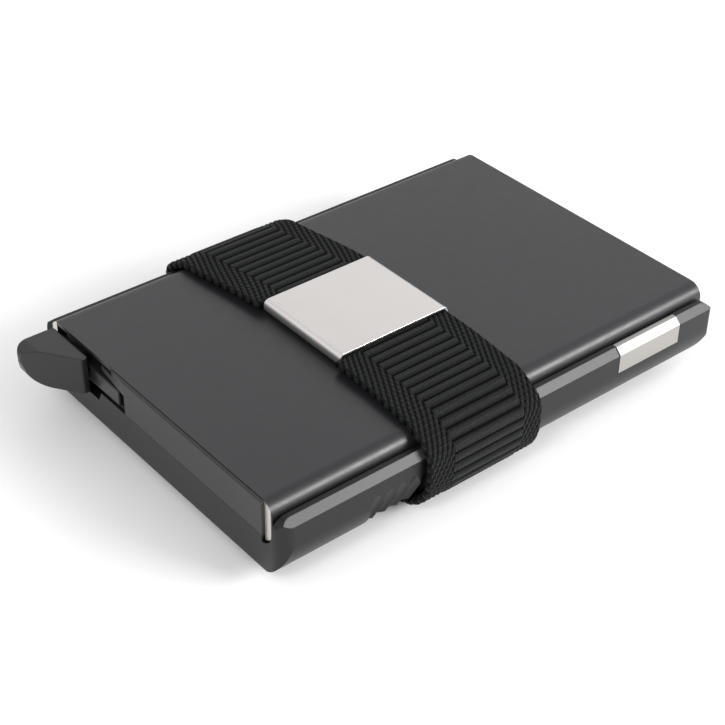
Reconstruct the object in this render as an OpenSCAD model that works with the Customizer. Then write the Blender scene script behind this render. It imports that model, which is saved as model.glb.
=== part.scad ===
// Card wallet: a flat aluminium card case with a corner lever that fans the cards out,
// a sliding tray under it for spare cards and banknotes, and an elastic band with a steel clasp.
// X runs along the cards, with the lever at -X. Z is up and z = 0 is the surface it rests on.

/* [Case] */
// Length of the aluminium tube
case_l = 95; // [88:0.5:130]
// Width of the aluminium tube
case_w = 63; // [59:0.5:80]
// Height of the aluminium tube
case_h = 8; // [7.6:0.1:12]
// Thickness of the tube's top and bottom sheets
sheet_t = 0.7; // [0.5:0.05:0.8]
// Thickness of the tube's side walls
side_t = 1.9; // [1.4:0.1:3]
// Radius of the tube's long edges
case_r = 2.6; // [1:0.1:3]

/* [End cap] */
// How far the cap stands proud of the tube's end
cap_proud = 0.55; // [0.4:0.05:1]
// How far the cap reaches into the tube
cap_depth = 8; // [7.5:0.1:12]
// Thickness of the cap's end wall
cap_wall = 2.2; // [1.8:0.1:2.8]
// Thickness of the cap's top and bottom plates
cap_plate = 1; // [0.7:0.05:1.2]

/* [Lever] */
// How far the lever's nose stands out from the cap
lever_reach = 7.95; // [5:0.05:9]
// Width of the lever's paddle along the end of the case
paddle_w = 11; // [10:0.5:14]
// Length of the longest step of the arm that pushes the cards
arm_l = 30; // [20:1:34]
// Difference in length between the steps of the arm
arm_step = 5.5; // [2:0.5:6]
// Full swing of the lever, in degrees
lever_swing = 40; // [20:1:40]
// Radius of the pivot pin
pin_r = 1.2; // [0.8:0.05:1.5]

/* [Tray] */
// Height of the tray's compartment under the case
bay_h = 4.8; // [4.2:0.1:9]
// Thickness of the tray's floor
floor_t = 1.4; // [1:0.1:3]
// How far each rail leans out from the case between its foot and its top
rail_flare = 0.5; // [0.1:0.05:0.8]
// Width of the flat land on top of each rail
rail_land = 0.95; // [0.9:0.05:2]
// Width of the slanting face along each rail's outer edge
rail_chamfer = 1.25; // [0.9:0.05:1.6]
// Depth of the rail's top below the case's top
rail_drop = 1.95; // [1.8:0.05:3]
// Radius of the tray's long lower edges
tray_r = 7; // [3:0.1:7.4]
// Height of the end wall's lip above the underside of the case
lip_h = 1.2; // [0.8:0.1:1.5]
// Number of finger grooves along each lower edge
groove_count = 6; // [3:1:8]

/* [Rail clip] */
// Length of the steel clip on the near rail
clip_l = 15; // [8:0.5:20]
// Thickness of the clip's steel
clip_t = 0.35; // [0.25:0.05:0.5]
// Distance from the middle of the case to the middle of the clip
clip_x = 31.5; // [20:0.5:32]

/* [Band] */
// Width of the elastic band
band_w = 24.4; // [16:0.2:30]
// Thickness of the elastic band
band_t = 1.5; // [1.2:0.1:2.5]
// Position of the band's middle along the case
band_x = -7.6; // [-14:0.2:4]
// Length of the clasp along the case
clasp_l = 23.7; // [14:0.1:30]
// Width of the clasp along the band
clasp_w = 20.8; // [10:0.1:30]
// Thickness of the clasp's steel
clasp_t = 0.45; // [0.3:0.05:0.6]

/* [Hidden] */
$fn = 48;
e = 0.01;          // overshoot of a cut
fit = 0.05;        // clearance between pieces that are fixed together
run_fit = 0.05;    // radial clearance of the lever on its pin
pin_fit = 0.02;    // radial clearance of the pin in the cap
glide = 0.15;      // clearance between the case and the tray on each side
band_gap = 0.2;    // clearance between the band and what it wraps

// heights
tray_z = band_t + band_gap;
bay_z = tray_z + floor_t;
case_z = bay_z + bay_h;
case_top = case_z + case_h;
inner_z = case_z + sheet_t;
inner_top = case_top - sheet_t;
rail_top = case_top - rail_drop;
lip_top = case_z + lip_h;

// lengths, measured from the middle of the tube
x0 = -case_l / 2;
x1 = case_l / 2;
cap_x = x0 - cap_proud;
cap_in = x0 + cap_depth;
tray_over = 0.3;
tray_x1 = x1 + tray_over;
tray_wall = 1.45;
nose_x = cap_x - lever_reach;
x_shift = -(nose_x + tray_x1) / 2;

// widths
inner_w = case_w / 2 - side_t;
rail_in = case_w / 2 + glide;
rail_out = rail_in + rail_flare + rail_land + rail_chamfer;
strip_w = 1.2;
strip_edge = 0.15;
ledge_w = glide + case_r + strip_w + 2 * strip_edge;
bay_w = rail_in - ledge_w;

// lever and its pivot
boss_r = 4.3;
arm_t = 3.8;
arm_gap = 0.2;
pivot = [x0 + max(boss_r, cap_wall + arm_t / 2 + arm_gap), inner_w - boss_r - 0.1];
plate_z = inner_z + fit + cap_plate;
cover_z = inner_top - fit - cap_plate;
washer_t = 0.25;
hub_z = plate_z + washer_t + fit;
hub_h = cover_z - washer_t - fit - hub_z;
hub_r = boss_r - 0.3;
layer_h = hub_h / 3;
paddle_gap = 0.25;
paddle_x = cap_x - paddle_gap;
paddle_y1 = inner_w - 0.1;
paddle_y0 = paddle_y1 - paddle_w;
paddle_taper = 1.5;
paddle_z = case_z + 0.1;
paddle_top = inner_top - 0.15;
sweep_gap = 0.35;
end_r = norm([paddle_x - paddle_taper - pivot[0], paddle_y0 - pivot[1]]);
nose_r = norm([nose_x - pivot[0], paddle_y1 - pivot[1]]);
sweep_r = max(end_r, nose_r) + sweep_gap;
paddle_corner = [paddle_x - pivot[0], paddle_y0 + 0.3 - pivot[1]];
sweep_x = pivot[0] + paddle_corner[0] * cos(lever_swing) - paddle_corner[1] * sin(lever_swing)
          + sweep_gap;
tab_reach = 8.4;
tab_y = paddle_y0 - tab_reach;
slot_y = tab_y - 1.9;
slot_top = case_top - 2.9;
tab_x = cap_x + 0.15;
tab_z = plate_z + 0.15;
tab_top = slot_top - 0.35;
arm_tip_y = pivot[1] - arm_l;
block_y = arm_tip_y - 0.9;
lip_cut_y = pivot[1] - end_r - 0.2;
lip_cut_z = case_z - 0.7;
flange_top = case_top - 0.1;

// band and clasp
clasp_y = -0.8;
band_lift = clasp_t + 2 * fit + 0.1;
band_in_z = case_top + band_lift + band_gap;
fold_r = 0.9;
neck_w = clasp_l - 2 * fold_r - 0.2;
clasp_z = band_in_z - fit - clasp_t;
clasp_h = band_t + 2 * fit + 2 * clasp_t;
clasp_x = band_x + 0.8;

module in_place() {
    translate([x_shift, 0, 0]) children();
}

// turns a Y-Z outline into a bar that runs from xa to xb
module bar(xa, xb) {
    translate([xa, 0, 0]) rotate([90, 0, 90]) linear_extrude(xb - xa) children();
}

module rounded_rect(y_a, y_b, z_a, z_b, r) {
    translate([y_a + r, z_a]) square([y_b - y_a - 2 * r, z_b - z_a]);
    translate([y_a, z_a + r]) square([y_b - y_a, z_b - z_a - 2 * r]);
    for (y = [y_a + r, y_b - r], z = [z_a + r, z_b - r])
        translate([y, z]) circle(r);
}

module box_at(xa, xb, ya, yb, za, zb) {
    translate([xa, ya, za]) cube([xb - xa, yb - ya, zb - za]);
}

module mirrored_y() {
    children();
    mirror([0, 1, 0]) children();
}

// the space that the lever's paddle swings through
module paddle_sweep(z_a, z_b) {
    intersection() {
        translate([pivot[0], pivot[1], z_a]) cylinder(r = sweep_r, h = z_b - z_a);
        box_at(cap_x - 20, sweep_x, slot_y, inner_w + side_t, z_a, z_b);
    }
}

module rivet_spots() {
    edge = 6;
    for (y = [block_y - edge * 0.75, -inner_w + edge])
        translate([x0 + cap_depth / 2, y, case_z]) children();
}

// countersunk rivet, with its head level with the underside of the tube
module rivet(grow) {
    shank_r = 0.8;
    shank_l = 3;
    head_r = 1.4;
    head_h = 0.5;
    cylinder(r1 = head_r + 2 * grow, r2 = shank_r + 2 * grow, h = head_h);
    cylinder(r = shank_r + grow, h = shank_l + grow);
    if (grow > 0) translate([0, 0, -1]) cylinder(r = head_r + 2 * grow, h = 1 + e);
}

module case_shell() {
    color([0.2, 0.21, 0.22]) in_place() difference() {
        bar(x0, x1) rounded_rect(-case_w / 2, case_w / 2, case_z, case_top, case_r);
        box_at(x0 - 1, x1 + 1, -inner_w, inner_w, inner_z, inner_top);
        box_at(x0 - 1, cap_x + tray_wall + fit, -inner_w, inner_w, case_z - 1, inner_z + e);
        paddle_sweep(case_z - 1, inner_z + e);
        rivet_spots() rivet(fit / 2);
    }
}

module end_cap() {
    yi = inner_w - fit;
    wall_x = cap_x + cap_proud / 2;
    scoop_y = paddle_y0 + 0.9;
    scoop_in = 0.8;
    post_x = pivot[0] + 2.4;
    post_w = 0.7;
    bevel = 0.4;
    color([0.24, 0.24, 0.23]) in_place() difference() {
        union() {
            // body inside the tube: end wall, closed block and bottom plate
            box_at(x0, cap_in, -yi, block_y, inner_z + fit, inner_top - fit);
            box_at(wall_x, x0 + cap_wall, -yi, slot_y, inner_z + fit, inner_top - fit);
            box_at(x0, cap_in, block_y - e, yi, inner_z + fit, plate_z);
            // flange that covers the tube's cut end
            box_at(cap_x, x0 - fit, -yi, slot_y, lip_top + fit, flange_top);
            // scooped strip above the slot
            box_at(cap_x, x0 + cap_wall, slot_y - e, scoop_y, slot_top, cover_z);
            box_at(cap_x, x0 - fit, slot_y - e, scoop_y, cover_z - e, flange_top);
            // post beside the pivot, under the cover
            box_at(post_x, cap_in, yi - post_w, yi, plate_z - e, cover_z);
        }
        // room for the lip of the tray's end wall
        box_at(cap_x - 1, cap_x + tray_wall + fit, -case_w, case_w, case_z - 1, lip_top + fit);
        difference() {
            union() {
                paddle_sweep(case_z - 1, plate_z + e);
                translate([pivot[0], pivot[1], plate_z]) cylinder(r = end_r + sweep_gap, h = case_h);
            }
            translate([pivot[0], pivot[1], inner_z]) cylinder(r = boss_r, h = plate_z - inner_z);
            box_at(sweep_x + fit, cap_in + 1, slot_y - 1, inner_w, inner_z, case_top);
        }
        // the scoop deepens towards the lever
        translate([0, 0, slot_top - e]) linear_extrude(case_h)
            polygon([[cap_x - 1, slot_y + fit], [cap_x, slot_y + fit], [x0 + scoop_in, scoop_y + 0.5],
                     [x0 + scoop_in, scoop_y + 1], [cap_x - 1, scoop_y + 1]]);
        translate([pivot[0], pivot[1], case_z - 1]) cylinder(r = pin_r + pin_fit, h = case_h);
        rivet_spots() rivet(fit / 2);
        // bevel along the flange's upper edge
        translate([cap_x, 0, flange_top]) rotate([0, 45, 0])
            cube([bevel, case_w * 2, bevel], center = true);
    }
}

module cap_cover() {
    color([0.24, 0.24, 0.23]) in_place() difference() {
        union() {
            difference() {
                box_at(x0 + cap_wall + fit, cap_in, block_y + fit, inner_w - fit, cover_z, inner_top - fit);
                paddle_sweep(cover_z - 1, case_top);
            }
            translate([pivot[0], pivot[1], cover_z]) cylinder(r = boss_r, h = cap_plate);
        }
        translate([pivot[0], pivot[1], cover_z - 1]) cylinder(r = pin_r + pin_fit, h = cap_plate + 2);
    }
}

module cap_rivets() {
    color([0.7, 0.7, 0.7]) in_place() rivet_spots() rivet(0);
}

module lever_pin() {
    z_a = inner_z + 2 * fit;
    color([0.75, 0.75, 0.76]) in_place() translate([pivot[0], pivot[1], z_a])
        cylinder(r = pin_r, h = inner_top - 2 * fit - z_a);
}

module lever_washers() {
    color([0.85, 0.85, 0.82]) in_place()
        for (z = [plate_z, cover_z - washer_t])
            translate([pivot[0], pivot[1], z]) difference() {
                cylinder(r = hub_r - 0.4, h = washer_t);
                translate([0, 0, -1]) cylinder(r = pin_r + 2 * run_fit, h = washer_t + 2);
            }
}

// outline of the paddle seen from above: straight inner side, round nose, tapering outer side
module paddle_plan() {
    nose_round = 1.3;
    back_r = 0.6;
    outer_r = 0.5;
    inner_r = 0.3;
    hull() {
        translate([nose_x + nose_round, paddle_y1 - nose_round]) circle(nose_round);
        translate([paddle_x - back_r, paddle_y1 - back_r]) circle(back_r, $fn = 32);
        translate([paddle_x - paddle_taper + outer_r, paddle_y0 + outer_r]) circle(outer_r, $fn = 32);
        translate([paddle_x - inner_r, paddle_y0 + inner_r]) circle(inner_r, $fn = 24);
    }
}

// outline of the paddle seen from the side: a full round nose, drawn in a little below
module paddle_side() {
    top_r = 2.5;
    low_r = 2.8;
    draw_in = 0.5;
    hull() {
        translate([nose_x + top_r, paddle_top - top_r]) circle(top_r);
        translate([nose_x + draw_in + low_r, paddle_z + low_r]) circle(low_r);
        translate([cap_x, paddle_z]) square([3, paddle_top - paddle_z]);
    }
}

module arm_layer(length, z) {
    tip_r = 0.9;
    translate([pivot[0], pivot[1], z]) {
        translate([-arm_t / 2, -length + tip_r, 0]) cube([arm_t, length - tip_r, layer_h]);
        translate([-arm_t / 2 + tip_r, -length, 0]) cube([arm_t - 2 * tip_r, length, layer_h]);
        for (x = [-arm_t / 2 + tip_r, arm_t / 2 - tip_r])
            translate([x, -length + tip_r, 0]) cylinder(r = tip_r, h = layer_h);
    }
}

module eject_lever() {
    neck_from = paddle_y0 + 3;
    neck_to = pivot[1] + 2.5;
    color([0.23, 0.24, 0.23]) in_place() difference() {
        union() {
            intersection() {
                translate([0, 0, case_z - 1]) linear_extrude(case_h + 2) paddle_plan();
                translate([0, case_w, 0]) rotate([90, 0, 0]) linear_extrude(case_w * 2) paddle_side();
            }
            // neck from the paddle to the hub
            box_at(paddle_x - 0.8, pivot[0], neck_from, neck_to, hub_z, hub_z + hub_h);
            translate([pivot[0], pivot[1], hub_z]) cylinder(r = hub_r, h = hub_h);
            for (i = [0:2])
                arm_layer(arm_l - i * arm_step, hub_z + i * layer_h);
            // tab seen through the slot in the cap
            box_at(tab_x, pivot[0], tab_y, pivot[1] - hub_r - fit, tab_z, tab_top);
        }
        translate([pivot[0], pivot[1], case_z]) cylinder(r = pin_r + run_fit, h = case_h);
    }
}

felt_t = 0.45;
felt_l = 22;
felt_w = case_w * 0.6;
felt_x = x1 - felt_l - 4;

module card_felt_upper() {
    color([0.12, 0.12, 0.12]) in_place()
        box_at(felt_x, felt_x + felt_l, -felt_w / 2, felt_w / 2, inner_top - felt_t, inner_top);
}

module card_felt_lower() {
    color([0.12, 0.12, 0.12]) in_place()
        box_at(felt_x, felt_x + felt_l, -felt_w / 2, felt_w / 2, inner_z, inner_z + felt_t);
}

// bowed steel leaf that presses a thin stack of cards upwards
module card_spring() {
    leaf_l = 26;
    leaf_w = 18;
    leaf_t = 0.2;
    crest = 0.75;
    steps = 16;
    top = [for (i = [0:steps]) [leaf_l * i / steps, leaf_t + crest * pow(sin(180 * i / steps), 2)]];
    low = [for (i = [steps:-1:0]) [leaf_l * i / steps, crest * pow(sin(180 * i / steps), 2)]];
    color([0.72, 0.73, 0.74]) in_place() translate([-leaf_l / 2 - 2, leaf_w / 2, inner_z])
        rotate([90, 0, 0]) linear_extrude(leaf_w) polygon(concat(top, low));
}

// cross-section of the tray's outside
module tray_outline() {
    difference() {
        union() {
            translate([-rail_out, tray_z + tray_r]) square([2 * rail_out, rail_top - tray_z - tray_r]);
            translate([-rail_out + tray_r, tray_z]) square([2 * (rail_out - tray_r), tray_r + e]);
            for (y = [-1, 1])
                translate([y * (rail_out - tray_r), tray_z + tray_r]) circle(tray_r, $fn = 64);
        }
        for (s = [-1, 1])
            polygon([[s * (rail_out + e), rail_top - rail_chamfer], [s * (rail_out + e), rail_top + e],
                     [s * (rail_out - rail_chamfer - e), rail_top + e]]);
    }
}

// what is taken off a corner to round it; sx and sz point from the corner into the solid
module corner_waste(x, z, sx, sz, r) {
    translate([x, z]) scale([sx, sz]) difference() {
        translate([-1, -1]) square(r + 1);
        translate([r, r]) circle(r, $fn = 64);
    }
}

// side view of the tray: rounded rail ends, the floor swept up at the open end
module tray_profile() {
    low_closed = 1;
    low_open = 8;
    top_closed = 2.6;
    top_open = 2.5;
    difference() {
        translate([cap_x, tray_z]) square([tray_x1 - cap_x, rail_top - tray_z]);
        corner_waste(cap_x, tray_z, 1, 1, low_closed);
        corner_waste(tray_x1, tray_z, -1, 1, low_open);
        corner_waste(cap_x, rail_top, 1, -1, top_closed);
        corner_waste(tray_x1, rail_top, -1, -1, top_open);
    }
}

// distance of a rail's inner face from the middle plane, at height z
function rail_face(z) = rail_in + rail_flare * (z - case_z) / (rail_top - case_z);

module grip_grooves() {
    groove_r = 1.3;
    depth = 1.5;
    pitch = 2.5;
    lean = 28;
    first = band_x - band_w / 2 - (groove_count - 2.1) * pitch;
    for (i = [0:groove_count - 1])
        translate([first + i * pitch, -(rail_out - tray_r), tray_z + tray_r])
            rotate([lean, 0, 0]) translate([0, -tray_r - groove_r + depth, 0])
                cylinder(r = groove_r, h = 2 * tray_r, center = true);
}

clip_skin = 0.08;
clip_low = rail_top - 4.85;

// the steel's outer outline over the near rail, in Y and Z
module clip_outline() {
    y_out = -(rail_out + clip_skin);
    z_hi = rail_top + clip_skin;
    cut = rail_chamfer - 0.05;
    polygon([[y_out, clip_low], [y_out, z_hi - cut], [y_out + cut, z_hi],
             [-rail_face(z_hi) - fit, z_hi], [-rail_face(clip_low) - fit, clip_low]]);
}

module clip_section() {
    below = 3;
    difference() {
        clip_outline();
        offset(delta = -clip_t) union() {
            clip_outline();
            polygon([[-rail_out - clip_skin, clip_low - below], [-rail_out - clip_skin, clip_low + e],
                     [-rail_face(clip_low + e) - fit, clip_low + e],
                     [-rail_face(clip_low - below) - fit, clip_low - below]]);
        }
    }
}

module rail_clip() {
    color([0.86, 0.85, 0.82]) in_place()
        bar(clip_x - clip_l / 2, clip_x + clip_l / 2) clip_section();
}

// pocket in the rail that the clip sits in
module clip_pocket() {
    side = 0.12;
    z_low = clip_low - side;
    xa = clip_x - clip_l / 2 - side;
    xb = clip_x + clip_l / 2 + side;
    skin = fit + clip_t + side / 2;
    z_high = rail_top + 1;
    outer_face = rail_out + clip_skin - clip_t - side / 2;
    bar(xa, xb) polygon([[-rail_face(z_low) - skin, z_low], [-rail_face(z_high) - skin, z_high],
                         [-rail_in + 1, z_high], [-rail_in + 1, z_low]]);
    bar(xa, xb) difference() {
        translate([-rail_out - 1, z_low]) square([rail_out - rail_in + 2, z_high - z_low]);
        polygon([[-outer_face, z_low - 1], [-outer_face, rail_top - clip_t - rail_chamfer],
                 [-outer_face + rail_chamfer, rail_top - clip_t], [-rail_in + 2, rail_top - clip_t],
                 [-rail_in + 2, z_low - 1]]);
    }
}

// the room between the rails, rounded at its foot like the case that lies in it
module case_bed() {
    bed_r = case_r + glide;
    foot = case_z - fit;
    y_mid = rail_face(foot + bed_r) - bed_r;
    polygon([[-rail_face(foot + bed_r), foot + bed_r], [rail_face(foot + bed_r), foot + bed_r],
             [rail_face(case_top), case_top], [-rail_face(case_top), case_top]]);
    translate([-y_mid, foot]) square([2 * y_mid, bed_r + e]);
    for (s = [-1, 1])
        translate([s * y_mid, foot + bed_r]) circle(bed_r, $fn = 64);
}

// the tray seen from above, with rounder corners at its closed end
module tray_plan() {
    closed_r = 2.6;
    open_r = 1;
    difference() {
        translate([cap_x, -rail_out]) square([tray_x1 - cap_x, 2 * rail_out]);
        for (s = [-1, 1]) {
            corner_waste(cap_x, s * rail_out, 1, -s, closed_r);
            corner_waste(tray_x1, s * rail_out, -1, -s, open_r);
        }
    }
}

module slide_tray() {
    notch_r = 8;
    lip_step_y = lip_cut_y + 0.8;
    color([0.25, 0.25, 0.24]) in_place() difference() {
        intersection() {
            bar(cap_x - 1, tray_x1 + 1) tray_outline();
            linear_extrude(case_top) tray_plan();
            translate([0, case_w, 0]) rotate([90, 0, 0]) linear_extrude(case_w * 2) tray_profile();
        }
        difference() {
            bar(cap_x - 1, tray_x1 + 1) case_bed();
            // lip of the end wall, lowered beside the lever
            difference() {
                box_at(cap_x, cap_x + tray_wall, -inner_w + glide, inner_w - glide, case_z - 1, lip_top);
                translate([cap_x - 1, 0, 0]) rotate([90, 0, 90]) linear_extrude(tray_wall + 2)
                    polygon([[lip_cut_y, lip_top + e], [lip_step_y, lip_cut_z],
                             [inner_w, lip_cut_z], [inner_w, lip_top + e]]);
            }
        }
        box_at(cap_x + tray_wall, tray_x1 + 1, -bay_w, bay_w, bay_z, case_z);
        // clearance under the paddle
        box_at(cap_x - 1, cap_x + tray_wall + 1, lip_step_y, inner_w, lip_cut_z, case_z + 1);
        // thumb notch in the open end of the floor
        translate([tray_x1 + 1, 0, tray_z - 1]) cylinder(r = notch_r, h = floor_t + 2);
        mirrored_y() grip_grooves();
        clip_pocket();
        mirrored_y() glide_strip(fit / 2);
    }
}

module glide_strip(grow) {
    depth = 0.3;
    y_a = bay_w + strip_edge;
    box_at(x0 + 6 - grow, x1 - 6 + grow, y_a - grow, y_a + strip_w + grow,
           case_z - fit - depth - grow, case_z - fit / 2);
}

// low-friction strips set in the ledges that the case slides on
module tray_glides() {
    color([0.9, 0.9, 0.88]) in_place() mirrored_y() glide_strip(0);
}

// soft pad on the floor that keeps spare cards from sliding out
module tray_pad() {
    pad_t = 0.3;
    color([0.1, 0.1, 0.1]) in_place()
        box_at(-case_l * 0.2, case_l * 0.2, -case_w * 0.2, case_w * 0.2, bay_z, bay_z + pad_t);
}

// stretched outline of everything inside the band, grown by a margin
module band_outline(grow) {
    offset(r = grow) hull() {
        for (s = [-1, 1]) {
            translate([s * (case_w / 2 - case_r), case_top - case_r]) circle(case_r, $fn = 32);
            translate([s * rail_out, rail_top - rail_chamfer]) circle(clip_skin, $fn = 16);
            translate([s * (rail_out - rail_chamfer), rail_top]) circle(clip_skin, $fn = 16);
            translate([s * (rail_out - tray_r), tray_z + tray_r]) circle(tray_r, $fn = 64);
            translate([clasp_y + s * (clasp_w / 2 + 0.4) - 0.05, case_top]) square([0.1, band_lift]);
        }
    }
}

module elastic_band() {
    neck_cut = (band_w - neck_w) / 2;
    color([0.13, 0.14, 0.14]) in_place() difference() {
        bar(band_x - band_w / 2, band_x + band_w / 2) difference() {
            band_outline(band_gap + band_t);
            band_outline(band_gap);
        }
        // drawn in where it passes through the clasp
        for (s = [[band_x - band_w, clasp_x - neck_w / 2], [clasp_x + neck_w / 2, band_x + band_w]])
            box_at(s[0], s[1], clasp_y - clasp_w / 2 - 0.3, clasp_y + clasp_w / 2 + 0.3,
                   case_top, case_top + 10);
    }
}

// flat sleeve of folded steel round the top of the band
module band_clasp() {
    xa = clasp_x - clasp_l / 2;
    xb = clasp_x + clasp_l / 2;
    color([0.86, 0.85, 0.83]) in_place() translate([0, clasp_y + clasp_w / 2, 0])
        rotate([90, 0, 0]) linear_extrude(clasp_w) difference() {
            rounded_rect(xa, xb, clasp_z, clasp_z + clasp_h, fold_r);
            rounded_rect(xa + clasp_t, xb - clasp_t, clasp_z + clasp_t, clasp_z + clasp_h - clasp_t,
                         fold_r - clasp_t);
        }
}

case_shell();
end_cap();
cap_cover();
cap_rivets();
lever_pin();
lever_washers();
eject_lever();
card_felt_upper();
card_felt_lower();
card_spring();
slide_tray();
rail_clip();
tray_glides();
tray_pad();
elastic_band();
band_clasp();
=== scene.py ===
"""Card wallet: the looks of the case, its lever and tray, the woven band and the steel pieces."""

import math

import bmesh
import bpy
import numpy as np
from mathutils import Matrix, Vector


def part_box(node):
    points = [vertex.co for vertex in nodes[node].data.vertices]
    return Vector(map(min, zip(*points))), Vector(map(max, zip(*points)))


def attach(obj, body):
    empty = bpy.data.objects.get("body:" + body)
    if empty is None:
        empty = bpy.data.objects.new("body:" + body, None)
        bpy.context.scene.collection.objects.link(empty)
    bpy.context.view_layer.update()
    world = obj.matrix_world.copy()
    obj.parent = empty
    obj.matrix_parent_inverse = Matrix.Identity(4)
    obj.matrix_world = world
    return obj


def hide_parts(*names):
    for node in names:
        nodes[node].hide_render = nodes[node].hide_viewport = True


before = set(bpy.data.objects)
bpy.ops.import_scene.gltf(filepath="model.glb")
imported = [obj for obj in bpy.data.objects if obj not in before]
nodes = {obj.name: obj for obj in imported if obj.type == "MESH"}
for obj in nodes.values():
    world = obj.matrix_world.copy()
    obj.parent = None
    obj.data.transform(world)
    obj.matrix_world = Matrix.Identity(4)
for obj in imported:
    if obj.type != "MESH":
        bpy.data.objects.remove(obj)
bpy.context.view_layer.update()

MM = 0.001


def limits(node):
    """Lowest and highest corner of a CAD node, in millimetres."""
    low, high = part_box(node)
    return Vector(low) / MM, Vector(high) / MM


case_lo, case_hi = limits("case_shell")
tray_lo, tray_hi = limits("slide_tray")
band_lo, band_hi = limits("elastic_band")
clasp_lo, clasp_hi = limits("band_clasp")

# ---------------------------------------------------------------- camera, light and floor

CAM_AZIMUTH = -40.88
CAM_ELEVATION = 36.59
CAM_ROLL = 1.45
CAM_DISTANCE = 270.1
CAM_LENS = 80.5
CAM_SHIFT = (-0.0413, 0.0219)
CAM_AIM = Vector((-10.1, -14.65, -3.6))  # from the middle of the case's top


def add_camera():
    top = Vector(((case_lo.x + case_hi.x) / 2, 0, case_hi.z))
    az, el, roll = (math.radians(a) for a in (CAM_AZIMUTH, CAM_ELEVATION, CAM_ROLL))
    away = Vector((math.sin(az) * math.cos(el), -math.cos(az) * math.cos(el), math.sin(el)))
    right = (-away).cross(Vector((0, 0, 1))).normalized()
    up = right.cross(-away)
    x_axis = right * math.cos(roll) + up * math.sin(roll)
    y_axis = up * math.cos(roll) - right * math.sin(roll)
    place = Matrix((x_axis, y_axis, away)).transposed().to_4x4()
    place.translation = (top + CAM_AIM + away * CAM_DISTANCE) * MM
    data = bpy.data.cameras.new("camera")
    data.lens = CAM_LENS
    data.shift_x, data.shift_y = CAM_SHIFT
    data.clip_start = 0.005
    camera = bpy.data.objects.new("camera", data)
    camera.matrix_world = place
    bpy.context.scene.collection.objects.link(camera)
    bpy.context.scene.camera = camera


def add_area(name, direction, distance, size, power):
    """Softbox that looks at the wallet from a direction; sizes in metres, power in watts."""
    data = bpy.data.lights.new(name, "AREA")
    data.shape = "RECTANGLE"
    data.size, data.size_y = size
    data.energy = power
    light = bpy.data.objects.new(name, data)
    spot = Vector(direction).normalized()
    light.location = spot * distance
    light.rotation_euler = spot.to_track_quat("Z", "Y").to_euler()
    bpy.context.scene.collection.objects.link(light)


def add_world():
    """Studio light: dim at the horizon, brightest some way up, dimmer overhead. The camera sees it pale."""
    world = bpy.data.worlds.new("studio")
    bpy.context.scene.world = world
    world.use_nodes = True
    tree = world.node_tree
    tree.nodes.clear()
    coord = tree.nodes.new("ShaderNodeTexCoord")
    split = tree.nodes.new("ShaderNodeSeparateXYZ")
    ramp = tree.nodes.new("ShaderNodeValToRGB")
    stops = ramp.color_ramp.elements
    stops[0].position = 0.0
    stops[0].color = (0.10, 0.10, 0.105, 1)
    stops[1].position = 0.36
    stops[1].color = (1.12, 1.12, 1.13, 1)
    overhead = stops.new(0.80)
    overhead.color = (0.80, 0.80, 0.81, 1)
    zenith = stops.new(0.93)
    zenith.color = (0.45, 0.45, 0.46, 1)
    path = tree.nodes.new("ShaderNodeLightPath")
    seen = tree.nodes.new("ShaderNodeBackground")
    seen.inputs["Color"].default_value = (0.98, 0.98, 0.98, 1)
    lit = tree.nodes.new("ShaderNodeBackground")
    mix = tree.nodes.new("ShaderNodeMixShader")
    out = tree.nodes.new("ShaderNodeOutputWorld")
    tree.links.new(coord.outputs["Generated"], split.inputs[0])
    tree.links.new(split.outputs["Z"], ramp.inputs["Fac"])
    tree.links.new(ramp.outputs["Color"], lit.inputs["Color"])
    tree.links.new(path.outputs["Is Camera Ray"], mix.inputs["Fac"])
    tree.links.new(lit.outputs[0], mix.inputs[1])
    tree.links.new(seen.outputs[0], mix.inputs[2])
    tree.links.new(mix.outputs[0], out.inputs["Surface"])


# ---------------------------------------------------------------- node materials


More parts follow.
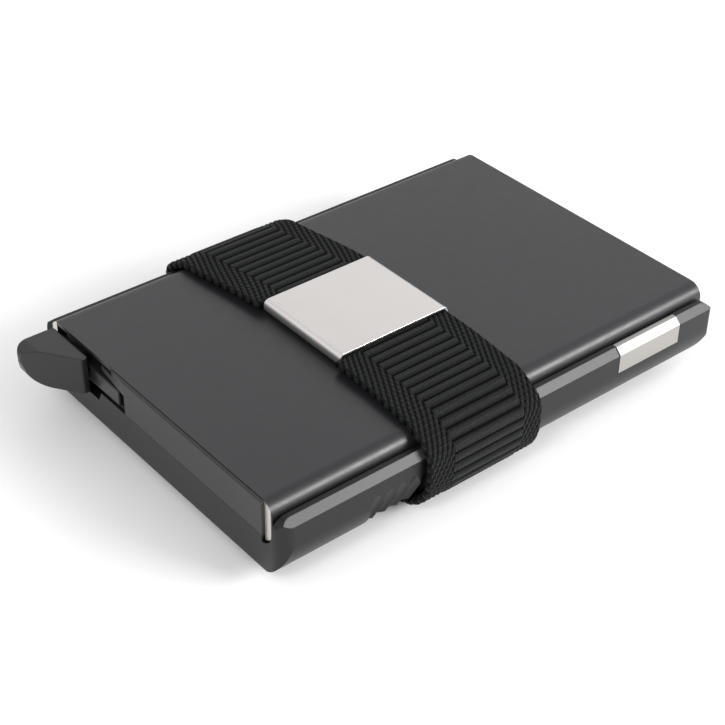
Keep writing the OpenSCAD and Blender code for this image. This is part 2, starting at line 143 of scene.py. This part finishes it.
class Shader:
    """A node material with the object's own coordinates in millimetres at hand."""

    def __init__(self, name):
        self.mat = bpy.data.materials.new(name)
        self.mat.use_nodes = True
        self.tree = self.mat.node_tree
        self.bsdf = self.tree.nodes["Principled BSDF"]
        coord = self.tree.nodes.new("ShaderNodeTexCoord")
        scale = self.tree.nodes.new("ShaderNodeVectorMath")
        scale.operation = "SCALE"
        scale.inputs["Scale"].default_value = 1 / MM
        self.tree.links.new(coord.outputs["Object"], scale.inputs[0])
        self.place = scale.outputs[0]
        self.object_normal = coord.outputs["Normal"]
        self.normal = None

    def put(self, socket, value):
        if isinstance(value, bpy.types.NodeSocket):
            self.tree.links.new(value, socket)
        elif isinstance(value, (tuple, list)) and len(value) == 3 and socket.type == "RGBA":
            socket.default_value = (*value, 1)
        else:
            socket.default_value = value

    def set(self, **values):
        for key, value in values.items():
            self.put(self.bsdf.inputs[key.replace("_", " ")], value)

    def math(self, operation, a, b=0.0):
        node = self.tree.nodes.new("ShaderNodeMath")
        node.operation = operation
        self.put(node.inputs[0], a)
        self.put(node.inputs[1], b)
        return node.outputs[0]

    def axis(self, vector, letter):
        node = self.tree.nodes.new("ShaderNodeSeparateXYZ")
        self.put(node.inputs[0], vector)
        return node.outputs[letter]

    def stretch(self, vector, factors):
        node = self.tree.nodes.new("ShaderNodeVectorMath")
        node.operation = "MULTIPLY"
        self.put(node.inputs[0], vector)
        node.inputs[1].default_value = factors
        return node.outputs[0]

    def noise(self, scale, detail=3.0, rough=0.55, vector=None):
        """Soft noise from 0 to 1; scale is the number of lumps per millimetre."""
        node = self.tree.nodes.new("ShaderNodeTexNoise")
        node.inputs["Scale"].default_value = scale
        node.inputs["Detail"].default_value = detail
        node.inputs["Roughness"].default_value = rough
        self.put(node.inputs["Vector"], vector or self.place)
        return node.outputs["Fac"]

    def cells(self, scale):
        """Distance to the nearest of many scattered points; scale is their number per millimetre."""
        node = self.tree.nodes.new("ShaderNodeTexVoronoi")
        node.inputs["Scale"].default_value = scale
        self.put(node.inputs["Vector"], self.place)
        return node.outputs["Distance"]

    def remap(self, value, a, b, c=0.0, d=1.0):
        node = self.tree.nodes.new("ShaderNodeMapRange")
        node.interpolation_type = "SMOOTHSTEP"
        self.put(node.inputs["Value"], value)
        for key, number in zip(("From Min", "From Max", "To Min", "To Max"), (a, b, c, d)):
            node.inputs[key].default_value = number
        return node.outputs["Result"]

    def mix(self, factor, a, b):
        node = self.tree.nodes.new("ShaderNodeMix")
        node.data_type = "RGBA"
        self.put(node.inputs["Factor"], factor)
        self.put(node.inputs[6], a)
        self.put(node.inputs[7], b)
        return node.outputs[2]

    def bump(self, height, strength, depth):
        """Adds a layer of bump; depth is in millimetres."""
        node = self.tree.nodes.new("ShaderNodeBump")
        node.inputs["Strength"].default_value = strength
        node.inputs["Distance"].default_value = depth * MM
        self.put(node.inputs["Height"], height)
        if self.normal is not None:
            self.put(node.inputs["Normal"], self.normal)
        self.normal = node.outputs["Normal"]
        self.put(self.bsdf.inputs["Normal"], self.normal)

    def soft_edges(self, radius):
        """Rounds the look of sharp edges; radius is in millimetres. Comes before any bump."""
        node = self.tree.nodes.new("ShaderNodeBevel")
        node.samples = 6
        node.inputs["Radius"].default_value = radius * MM
        self.normal = node.outputs["Normal"]

    def attribute(self, name):
        node = self.tree.nodes.new("ShaderNodeAttribute")
        node.attribute_name = name
        return node.outputs["Fac"]

    def facing(self, letter):
        """How far the surface faces along an axis of the object, from -1 to 1."""
        return self.axis(self.object_normal, letter)


CASE_WALL = 1.9  # thickness of the tube's side walls
CUT_BORDER = 0.30  # width of the dark border outside the bare metal
CUT_FADE = 0.12  # how softly the border begins


def anodised_case():
    """Satin black anodising, with bare metal where the tube's side walls were cut."""
    s = Shader("anodised_case")
    cloud = s.noise(0.035, 2.0)
    grain = s.noise(9.0, 4.0, 0.7)
    blotch = s.noise(0.6, 3.0)
    dark = s.mix(cloud, (0.0125, 0.0130, 0.0145), (0.0185, 0.0190, 0.0205))
    dark = s.mix(s.remap(grain, 0.62, 0.8), dark, (0.03, 0.031, 0.033))
    out_y = s.math("ABSOLUTE", s.axis(s.place, "Y"))
    wall_y = case_hi.y - CASE_WALL
    rim_y = case_hi.y - CUT_BORDER
    side = s.remap(out_y, wall_y - 0.05, wall_y + 0.05)
    rim = s.remap(out_y, rim_y - CUT_FADE, rim_y, 1.0, 0.0)
    cut = s.remap(s.math("ABSOLUTE", s.facing("X")), 0.9, 0.97)
    cut = s.math("MULTIPLY", cut, s.math("MULTIPLY", side, rim))
    saw = s.noise(1.0, 4.0, 0.6, s.stretch(s.place, (1, 0.7, 14)))
    bare = s.mix(saw, (0.62, 0.58, 0.53), (0.85, 0.81, 0.75))
    s.set(
        Base_Color=s.mix(cut, dark, bare),
        Metallic=s.math("MULTIPLY", cut, 0.9),
        Roughness=s.math("ADD", s.remap(blotch, 0.2, 0.8, 0.31, 0.37), s.math("MULTIPLY", grain, 0.06)),
        IOR=1.55,
    )
    s.bump(s.noise(16.0, 3.0, 0.6), 0.10, 0.02)
    s.bump(saw, 0.12, 0.03)
    return s.mat


SPARK_GRAIN = 7.0  # lumps per millimetre
SPARK_DEPTH = 0.035
GRAIN_LIFT = 2.2  # how much paler the highest grain is
HIGHLIGHT_SHINE = 0.3  # how much the painted highlight on slanting faces adds to the specular level


def moulded(name, low, high, rough, edge, shine=0.5, highlight_strength=0.0):
    """Dark moulded plastic with a fine spark-eroded grain, softened edges and, if asked, a painted
    highlight on faces that slant up and outward.
    """
    s = Shader(name)
    cloud = s.noise(0.08, 3.0)
    grain = s.noise(SPARK_GRAIN, 4.0, 0.65)
    pits = s.cells(SPARK_GRAIN * 0.8)
    colour = s.mix(cloud, low, high)
    colour = s.mix(s.remap(grain, 0.6, 0.78, 0.0, 0.5), colour, tuple(GRAIN_LIFT * c for c in high))
    rub = s.remap(s.noise(0.5, 4.0, 0.7), 0.6, 0.85, 0.0, 0.06)
    # painted highlight: faces that slant up and outward are painted paler and given a higher specular level
    up, out = s.facing("Z"), s.math("ABSOLUTE", s.facing("Y"))
    highlight_mask = s.math("MULTIPLY", s.remap(up, 0.5, 0.62), s.remap(out, 0.5, 0.62))
    colour = s.mix(s.math("MULTIPLY", highlight_mask, highlight_strength), colour, (0.085, 0.088, 0.088))
    s.set(
        Base_Color=colour,
        Roughness=s.math("SUBTRACT", s.remap(grain, 0.25, 0.75, rough + 0.05, rough - 0.04), rub),
        IOR=1.5,
        Specular_IOR_Level=s.math("ADD", shine, s.math("MULTIPLY", highlight_mask, highlight_strength * HIGHLIGHT_SHINE)),
    )
    s.soft_edges(edge)
    s.bump(grain, 0.35, SPARK_DEPTH)
    s.bump(pits, 0.18, SPARK_DEPTH * 0.6)
    return s.mat


def steel(name, low, high, rough):
    """Satin stainless steel, brushed along X, with a few fine scratches."""
    s = Shader(name)
    brush = s.noise(1.2, 5.0, 0.7, s.stretch(s.place, (0.25, 9.0, 9.0)))
    fine = s.noise(5.0, 4.0, 0.7)
    cloud = s.noise(0.12, 2.0)
    scratch = s.noise(0.7, 2.0, 0.5, s.stretch(s.place, (6.0, 0.12, 1.0)))
    worn = s.remap(scratch, 0.72, 0.76, 0.0, 1.0)
    shade = s.math("ADD", s.math("MULTIPLY", brush, 0.5), s.math("MULTIPLY", cloud, 0.5))
    satin = s.remap(brush, 0.3, 0.7, rough, rough + 0.09)
    s.set(
        Base_Color=s.mix(shade, low, high),
        Metallic=1.0,
        Roughness=s.math("ADD", satin, s.math("MULTIPLY", worn, -0.08)),
    )
    s.bump(brush, 0.10, 0.02)
    s.bump(fine, 0.06, 0.02)
    return s.mat


def felt():
    s = Shader("pressed_felt")
    hairs = s.noise(5.0, 6.0, 0.8)
    tufts = s.cells(2.2)
    s.set(
        Base_Color=s.mix(hairs, (0.006, 0.006, 0.007), (0.035, 0.035, 0.037)),
        Roughness=s.remap(hairs, 0.3, 0.7, 0.85, 0.97),
        Sheen_Weight=0.5,
        Sheen_Roughness=0.5,
    )
    s.bump(hairs, 0.9, 0.12)
    s.bump(tufts, 0.4, 0.12)
    return s.mat


def waxy(name, low, high):
    s = Shader(name)
    s.set(
        Base_Color=s.mix(s.noise(0.6, 3.0), low, high),
        Roughness=s.remap(s.noise(3.0, 3.0), 0.3, 0.7, 0.34, 0.5),
        Subsurface_Weight=0.1,
        Subsurface_Scale=0.5 * MM,
    )
    s.bump(s.noise(2.0, 3.0), 0.15, 0.05)
    return s.mat


def pad_rubber():
    """Soft pad with moulded dots on a 1.5 mm grid."""
    s = Shader("pad_rubber")
    grid = s.tree.nodes.new("ShaderNodeVectorMath")
    grid.operation = "WRAP"
    s.put(grid.inputs[0], s.place)
    grid.inputs[1].default_value = (0.75, 0.75, 1000)
    grid.inputs[2].default_value = (-0.75, -0.75, -1000)
    flat = s.stretch(grid.outputs[0], (1, 1, 0))
    length = s.tree.nodes.new("ShaderNodeVectorMath")
    length.operation = "LENGTH"
    s.put(length.inputs[0], flat)
    dots = s.remap(length.outputs["Value"], 0.3, 0.45, 1.0, 0.0)
    dust = s.noise(0.5, 4.0, 0.7)
    s.set(
        Base_Color=s.mix(dust, (0.008, 0.008, 0.008), (0.028, 0.027, 0.026)),
        Roughness=s.remap(dust, 0.3, 0.8, 0.55, 0.85),
    )
    s.bump(dots, 0.8, 0.15)
    s.bump(s.noise(6.0, 3.0), 0.2, 0.03)
    return s.mat


def woven_elastic():
    """Woven elastic: dark yarn with painted shade in the grooves and on the back, and painted highlights on
    the stitch crests and on small stray threads.
    """
    s = Shader("woven_elastic")
    across, along = s.attribute("across"), s.attribute("along")
    groove = s.attribute("groove")
    edge = s.attribute("margin")
    mapped = s.tree.nodes.new("ShaderNodeCombineXYZ")
    s.put(mapped.inputs[0], across)
    s.put(mapped.inputs[1], along)
    cloth = mapped.outputs[0]

    def wave(per_x, per_s, shift=0.0):
        turns = s.math("ADD", s.math("MULTIPLY", across, per_x), s.math("MULTIPLY", along, per_s))
        return s.math("SINE", s.math("MULTIPLY", s.math("ADD", turns, shift), 2 * math.pi))

    yarn = s.noise(4.0, 5.0, 0.75, s.stretch(cloth, (0.55, 1.6, 1)))
    fluff = s.noise(4.5, 4.0, 0.8, cloth)
    column = s.math("MULTIPLY", wave(1.03, 0.55), wave(1.03, -0.45, 0.25))
    rows = wave(0.12, 2.0)
    stitch = s.math("ADD", s.math("MULTIPLY", column, 0.5), s.math("MULTIPLY", rows, 0.2))
    # painted highlight: the stitch crests are painted paler, mixed with the yarn's own random tone
    lit = s.remap(s.math("ADD", s.math("MULTIPLY", stitch, 0.35), yarn), 0.35, 0.95)
    ridge = s.mix(lit, (0.0022, 0.0024, 0.0024), (0.0200, 0.0215, 0.0210))
    # painted highlights: small stray threads are painted pale where they would catch the light
    ridge = s.mix(s.remap(fluff, 0.56, 0.72, 0.0, 0.8), ridge, (0.085, 0.091, 0.089))
    # painted shade: the grooves, and the back through the groove attribute, are painted near black
    colour = s.mix(groove, ridge, (0.0006, 0.0007, 0.0007))
    # sewn rows where the two ends of the webbing are joined
    low, high = SEWN_ZONE
    sewn = s.math("MULTIPLY", s.remap(along, low, low + 1), s.remap(along, high - 1, high, 1.0, 0.0))
    knots = s.remap(wave(1 / STITCH_PITCH, 0.0), 0.1, 0.6)
    sewn = s.math("MULTIPLY", s.math("MULTIPLY", sewn, knots), s.math("MULTIPLY", groove, 0.85))
    colour = s.mix(sewn, colour, (0.075, 0.080, 0.078))
    s.set(
        Base_Color=colour,
        Roughness=s.remap(yarn, 0.3, 0.7, 0.62, 0.85),
        Sheen_Weight=s.math("SUBTRACT", 0.04, s.math("MULTIPLY", groove, 0.04)),
        Specular_IOR_Level=s.math("SUBTRACT", 0.24, s.math("MULTIPLY", groove, 0.22)),
        Sheen_Roughness=0.45,
        Sheen_Tint=(0.8, 0.85, 0.84),
    )
    s.bump(s.math("MULTIPLY", stitch, s.remap(edge, 0.0, 1.0, 0.45, 1.0)), 0.8, 0.16)
    s.bump(yarn, 0.75, 0.11)
    s.bump(fluff, 0.5, 0.05)
    return s.mat


def floor_paper():
    s = Shader("floor_paper")
    s.set(
        Base_Color=s.mix(s.noise(0.02, 2.0), (0.985, 0.985, 0.985), (0.995, 0.995, 0.995)),
        Roughness=s.remap(s.noise(0.5, 3.0), 0.3, 0.7, 0.85, 0.95),
    )
    return s.mat


def assign(name, mat):
    obj = nodes[name]
    obj.data.materials.clear()
    obj.data.materials.append(mat)


# ---------------------------------------------------------------- mesh helpers


def new_object(name, verts, faces, mat, smooth=True):
    mesh = bpy.data.meshes.new(name)
    mesh.from_pydata([tuple(c * MM for c in v) for v in verts], [], faces)
    mesh.materials.append(mat)
    if smooth:
        mesh.polygons.foreach_set("use_smooth", [True] * len(mesh.polygons))
    mesh.update()
    obj = bpy.data.objects.new(name, mesh)
    bpy.context.scene.collection.objects.link(obj)
    return obj


def apply_modifiers(obj):
    bpy.context.view_layer.update()
    graph = bpy.context.evaluated_depsgraph_get()
    done = bpy.data.meshes.new_from_object(obj.evaluated_get(graph))
    obj.modifiers.clear()
    old, obj.data = obj.data, done
    name = old.name
    bpy.data.meshes.remove(old)
    done.name = name


def bevel(obj, width):
    """Rounds every edge that is sharper than 35 degrees."""
    mod = obj.modifiers.new("bevel", "BEVEL")
    mod.width = width * MM
    mod.segments = 3
    mod.limit_method = "ANGLE"
    mod.angle_limit = math.radians(35)
    mod.harden_normals = True
    apply_modifiers(obj)


def round_corners(points, radius, steps=5):
    """An open outline in two dimensions with its inner corners rounded."""
    out = [Vector(points[0])]
    for a, b, c in zip(points, points[1:], points[2:]):
        a, b, c = Vector(a), Vector(b), Vector(c)
        p, q = (a - b).normalized(), (c - b).normalized()
        half = p.angle(q) / 2
        reach = min(radius / math.tan(half), 0.45 * (a - b).length, 0.45 * (c - b).length)
        r = reach * math.tan(half)
        centre = b + (p + q).normalized() * (r / math.sin(half))
        start, end = b + p * reach - centre, b + q * reach - centre
        for i in range(steps + 1):
            t = i / steps
            turn = math.pi - 2 * half
            mixed = start * math.sin((1 - t) * turn) + end * math.sin(t * turn)
            out.append(centre + mixed.normalized() * r)
    out.append(Vector(points[-1]))
    return out


def thicken(path, thickness):
    """A closed outline: the path on its left side, and the path moved right by the thickness."""
    normals = []
    for i in range(len(path)):
        d = (path[min(i + 1, len(path) - 1)] - path[max(i - 1, 0)]).normalized()
        normals.append(Vector((d.y, -d.x)))
    inner = [p + n * thickness for p, n in zip(path, normals)]
    return path + inner[::-1]


def extrude_outline(name, outline, x_from, x_to, mat, edge):
    """A closed outline in Y and Z drawn out along X, with its cut edges bevelled."""
    n = len(outline)
    verts = [(x_from, p.x, p.y) for p in outline] + [(x_to, p.x, p.y) for p in outline]
    faces = [(i, (i + 1) % n, n + (i + 1) % n, n + i) for i in range(n)]
    half = n // 2
    for k in (0, n):
        for i in range(half - 1):
            quad = (k + i, k + i + 1, k + n - 2 - i, k + n - 1 - i)
            faces.append(quad if k else quad[::-1])
    obj = new_object(name, verts, faces, mat)
    bm = bmesh.new()
    bm.from_mesh(obj.data)
    bmesh.ops.recalc_face_normals(bm, faces=bm.faces)
    bm.to_mesh(obj.data)
    bm.free()
    bevel(obj, edge)
    return obj


# ---------------------------------------------------------------- band

BAND_THICK = 1.5
BAND_GAP = 0.2  # between the band and what it wraps
CASE_ROUND = 2.6
TRAY_ROUND = 7.0
RAIL_CHAMFER = 1.25
RAIL_SKIN = 0.08  # how far the clip stands proud of the rail
LIP_RISE = 0.15  # how far the clasp's mouth lifts the band above the clasp's underside
PATH_STEP = 0.2  # distance between two rows of the webbing
BEND_SOFT = 0.8  # how softly the band bends round a corner
BEND_REACH = 2.4
NECK_INSET = 0.75  # how much narrower the band is inside the clasp, on each side
NECK_START = 1.6  # before the clasp's mouth, where the narrowing begins
NECK_END = 0.4  # behind the clasp's mouth, where it ends
RIB_PITCH = 2.0
RIB_PHASE = 1.2  # distance of the first groove from the clasp's middle
RIB_ZONE = (-7.0, 7.7)  # across the band; the twill margins lie outside it
RIB_DEPTH = 0.34
RIB_HALF = 0.30
TWILL_SLOPE = 1.94
TWILL_DEPTH = 0.22
TWILL_HALF = 0.17
CHAIN_DEPTH = 0.10
CROWN = 0.05  # how much a rib bulges between its grooves
SKIN_DEPTH = 0.05  # keeps the whole weave just under the band's face
BACK_SHARE = 0.35  # how much of the weave's depth shows on the back
EDGE_TUCK = 0.08  # how much flatter than half round the band's edges are
EDGE_WAVE = 0.06  # how far the edge yarn loops stand out
SEWN_ZONE = (38.5, 46.5)  # along the band, where its two ends are joined
STITCH_PITCH = 0.75


def band_path(step):
    """The band's middle line: evenly spaced points, their ways outward, and distances from the clasp."""
    lip = clasp_lo.z - case_hi.z + LIP_RISE
    mid = (clasp_lo.y + clasp_hi.y) / 2
    rounds = []
    for side in (-1, 1):
        rounds.append((side * (case_hi.y - CASE_ROUND), case_hi.z - CASE_ROUND, CASE_ROUND))
        rounds.append((side * tray_hi.y, tray_hi.z - RAIL_CHAMFER, RAIL_SKIN))
        rounds.append((side * (tray_hi.y - RAIL_CHAMFER), tray_hi.z, RAIL_SKIN))
        rounds.append((side * (tray_hi.y - TRAY_ROUND), tray_lo.z + TRAY_ROUND, TRAY_ROUND))
        rounds.append((mid + side * (clasp_hi.y - clasp_lo.y) / 2, case_hi.z + lip, 0.0))
    rounds = np.array(rounds)
    turn = np.linspace(0, 2 * math.pi, 4000, endpoint=False) + math.pi / 2
    way = np.stack([np.cos(turn), np.sin(turn)], 1)
    best = np.argmax(way @ rounds[:, :2].T + rounds[:, 2], axis=1)
    grow = BAND_GAP + BAND_THICK / 2
    loop = rounds[best, :2] + (rounds[best, 2:] + grow) * way
    loop = np.vstack([loop, loop[:1]])
    length = np.r_[0, np.cumsum(np.linalg.norm(np.diff(loop, axis=0), axis=1))]
    count = int(round(length[-1] / step))
    at = np.linspace(0, length[-1], count, endpoint=False)
    points = np.stack([np.interp(at, length, loop[:, k]) for k in (0, 1)], 1)
    reach = int(BEND_REACH / step)
    weight = np.exp(-0.5 * (np.arange(-reach, reach + 1) * step / BEND_SOFT) ** 2)
    weight /= weight.sum()
    soft = sum(w * np.roll(points, -k, axis=0) for k, w in zip(range(-reach, reach + 1), weight))
    ahead = np.roll(soft, -1, axis=0) - np.roll(soft, 1, axis=0)
    ahead /= np.linalg.norm(ahead, axis=1)[:, None]
    out = np.stack([ahead[:, 1], -ahead[:, 0]], 1)
    top = np.argmin(np.abs(soft[:, 0] - mid) + 10 * (soft[:, 1] < case_hi.z))
    along = (np.arange(count) - top) * length[-1] / count
    return soft, out, along


def smooth_step(a, b, x):
    t = np.clip((x - a) / (b - a), 0, 1)
    return t * t * (3 - 2 * t)


def weave_depth(across, along):
    """How deep the weave lies under the band's face, in millimetres, and its groove and margin masks."""
    low, high = RIB_ZONE
    phase = (along - RIB_PHASE) / RIB_PITCH
    gap = np.abs(phase - np.round(phase)) * RIB_PITCH
    rib = np.exp(-((gap / RIB_HALF) ** 2))
    side = np.where(across < low, across - low, np.where(across > high, across - high, 0.0))
    twill = phase + TWILL_SLOPE * side / RIB_PITCH
    off = np.abs(twill - np.round(twill)) * RIB_PITCH / math.hypot(1, TWILL_SLOPE)
    line = np.exp(-((off / TWILL_HALF) ** 2))
    chain = 0.5 + 0.5 * np.cos(2 * math.pi * (1.03 * across - 0.45 * along))
    margin = smooth_step(0.0, 0.25, np.abs(side))
    groove = rib * (1 - margin) + line * margin
    depth = RIB_DEPTH * rib * (1 - margin) + (TWILL_DEPTH * line + CHAIN_DEPTH * chain) * margin
    crown = CROWN * (1 - np.cos(2 * math.pi * phase)) * -0.5 * (1 - margin)
    return depth + crown + SKIN_DEPTH, np.clip(groove, 0, 1), margin


def band_shift(points):
    """The band lies slightly askew: how far it sits along X, by its place across the case."""
    y, z = points[:, 0], points[:, 1]
    top = 0.3 - 2.2 * smooth_step(10, 32, y) - 0.7 * smooth_step(16, 32, -y)
    under = -1.15 - 0.75 * y / 32
    return np.where(z > case_hi.z - 4, top, top + (under - top) * smooth_step(0, 10, case_hi.z - 4 - z))


def elastic_band(mat):
    """Woven loop: ribs in its middle, twill along both edges, narrower where it passes the clasp."""
    points, out, along = band_path(PATH_STEP)
    count = len(points)
    width = band_hi.x - band_lo.x
    centre = (band_lo.x + band_hi.x) / 2 + band_shift(points)
    mouth = (clasp_hi.y - clasp_lo.y) / 2
    inside = smooth_step(mouth + NECK_START, mouth - NECK_END, np.abs(along))
    neck = (clasp_hi.x - clasp_lo.x) / 2 - NECK_INSET
    clasp_mid = (clasp_lo.x + clasp_hi.x) / 2
    half = width / 2 + (neck - width / 2) * inside
    centre = centre + (clasp_mid - centre) * inside
    # columns across the band: close together in the twill margins, wider on the ribs
    low, high = RIB_ZONE
    face = np.concatenate([
        np.arange(-width / 2 + 0.35, low - 0.4, 0.2),
        np.arange(low - 0.4, low + 0.4, 0.1),
        np.linspace(low + 0.4, high - 0.4, 30),
        np.arange(high - 0.3, high + 0.4, 0.1),
        np.arange(high + 0.4, width / 2 - 0.3, 0.2),
    ])
    rim = 6
    bend = [math.pi / 2 - math.pi * (i + 1) / (rim + 1) for i in range(rim)]
    back = np.linspace(width / 2 - 0.5, -width / 2 + 0.5, 14)
    edge_r = BAND_THICK / 2 - EDGE_TUCK
    rim_x = width / 2 - edge_r
    # the section's points: place across, height over its middle, and 1, 0 or -1 for face, edge or back
    section = [(x, BAND_THICK / 2, 1.0) for x in face]
    section += [(rim_x + edge_r * math.cos(a), edge_r * math.sin(a), 0.0) for a in bend]
    section += [(x, -BAND_THICK / 2, -1.0) for x in back]
    section += [(-rim_x - edge_r * math.cos(a), edge_r * math.sin(a), 0.0) for a in bend[::-1]]
    cols_x, cols_n, cols_face = np.array(section).T
    n = len(cols_x)
    grid_u, grid_s = np.meshgrid(cols_x, along)
    depth, groove, margin = weave_depth(grid_u, grid_s)
    shown = np.where(cols_face > 0.5, 1.0, np.where(cols_face < -0.5, -BACK_SHARE, 0.0))[None, :]
    rim_wave = EDGE_WAVE * np.cos(2 * math.pi * grid_s) * (np.abs(cols_face) < 0.5)[None, :]
    offset = cols_n[None, :] - depth * shown
    x = centre[:, None] + grid_u * (half / (width / 2))[:, None] + np.sign(grid_u) * rim_wave
    y = points[:, 0:1] + out[:, 0:1] * offset
    z = points[:, 1:2] + out[:, 1:2] * offset
    verts = np.stack([x, y, z], -1).reshape(-1, 3)
    i, j = np.meshgrid(np.arange(count), np.arange(n), indexing="ij")
    i2, j2 = (i + 1) % count, (j + 1) % n
    faces = np.stack([i * n + j, i * n + j2, i2 * n + j2, i2 * n + j], -1).reshape(-1, 4)
    obj = new_object("band_webbing", verts.tolist(), faces.tolist(), mat)
    mesh = obj.data
    bm = bmesh.new()
    bm.from_mesh(mesh)
    bmesh.ops.recalc_face_normals(bm, faces=bm.faces)
    bm.to_mesh(mesh)
    bm.free()
    # painted shade: the back of the band, facing the case, gets a fixed share of the groove darkening
    dark = np.where(cols_face[None, :] > -0.5, groove, 0.3)
    for name, values in (("across", grid_u), ("along", grid_s), ("groove", dark), ("margin", margin)):
        layer = mesh.attributes.new(name, "FLOAT", "POINT")
        layer.data.foreach_set("value", np.ascontiguousarray(values, dtype=np.float32).ravel())
    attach(obj, "band")
    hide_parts("elastic_band")


# ---------------------------------------------------------------- folded steel

CLASP_THICK = 0.45
CLASP_FOLD = 1.05
SEAM_HALF = 0.05  # half of the gap in the clasp's seam
CLIP_THICK = 0.35
CLIP_FOLD = 0.42
CLIP_LEAN = 0.4  # how far the inner leg's top leans back
CLIP_CHAMFER = RAIL_CHAMFER - 0.05


def clasp_sleeve(mat):
    """Folded sleeve with a butt seam underneath."""
    lo, hi = clasp_lo, clasp_hi
    seam = (lo.x + hi.x) / 2
    corners = [
        (seam - SEAM_HALF, lo.z),
        (lo.x, lo.z),
        (lo.x, hi.z),
        (hi.x, hi.z),
        (hi.x, lo.z),
        (seam + SEAM_HALF, lo.z),
    ]
    outline = thicken(round_corners(corners, CLASP_FOLD, 9), CLASP_THICK)
    obj = extrude_outline("clasp_sleeve", outline, -hi.y, -lo.y, mat, 0.09)
    obj.data.transform(Matrix.Rotation(-math.pi / 2, 4, "Z"))
    return obj


def rail_clip(mat):
    """Spring clip folded over the near rail; its inner leg leans like the rail's face."""
    lo, hi = limits("rail_clip")
    corners = [
        (lo.y, lo.z),
        (lo.y, hi.z - CLIP_CHAMFER),
        (lo.y + CLIP_CHAMFER, hi.z),
        (hi.y - CLIP_LEAN, hi.z),
        (hi.y, lo.z),
    ]
    path = round_corners(corners, CLIP_FOLD, 5)
    obj = extrude_outline("clip_spring", thicken(path, CLIP_THICK), lo.x, hi.x, mat, 0.07)
    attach(obj, "tray")
    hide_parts("rail_clip")


# ---------------------------------------------------------------- put together


def floor():
    half = 420
    verts = [(-half, -half, 0), (half, -half, 0), (half, half, 0), (-half, half, 0)]
    new_object("floor", verts, [(0, 1, 2, 3)], floor_paper(), smooth=False)


add_camera()
add_world()
add_area("key_softbox", (0.50, -0.76, 0.44), 0.62, (0.34, 0.20), 3.4)
add_area("corner_softbox", (-0.62, -0.30, 0.72), 0.62, (0.16, 0.16), 0.7)
floor()

cap_plastic = moulded("moulded_cap", (0.017, 0.017, 0.016), (0.027, 0.027, 0.025), 0.42, 0.12)
lever_plastic = moulded("moulded_lever", (0.009, 0.0093, 0.009), (0.017, 0.0176, 0.017), 0.32, 0.45)
# the tray's slanting rail faces get a painted highlight
tray_plastic = moulded("moulded_tray", (0.0040, 0.0040, 0.0038), (0.0085, 0.0085, 0.0080), 0.38, 0.18,
                       shine=0.36, highlight_strength=0.42)
clasp_steel = steel("clasp_steel", (0.70, 0.675, 0.655), (0.79, 0.765, 0.745), 0.30)
clip_steel = steel("clip_steel", (0.38, 0.367, 0.35), (0.48, 0.463, 0.44), 0.36)
small_steel = steel("small_steel", (0.42, 0.42, 0.42), (0.62, 0.62, 0.61), 0.28)

assign("case_shell", anodised_case())
assign("end_cap", cap_plastic)
assign("cap_cover", cap_plastic)
assign("eject_lever", lever_plastic)
assign("slide_tray", tray_plastic)
assign("cap_rivets", small_steel)
assign("lever_pin", small_steel)
assign("card_spring", small_steel)
pressed_felt = felt()
assign("card_felt_upper", pressed_felt)
assign("card_felt_lower", pressed_felt)
assign("lever_washers", waxy("washer_plastic", (0.55, 0.53, 0.48), (0.70, 0.68, 0.62)))
assign("tray_glides", waxy("glide_plastic", (0.60, 0.60, 0.57), (0.72, 0.72, 0.70)))
assign("tray_pad", pad_rubber())

elastic_band(woven_elastic())
sleeve = clasp_sleeve(clasp_steel)
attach(sleeve, "band")
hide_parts("band_clasp")
rail_clip(clip_steel)

bpy.context.scene.view_settings.view_transform = "Standard"
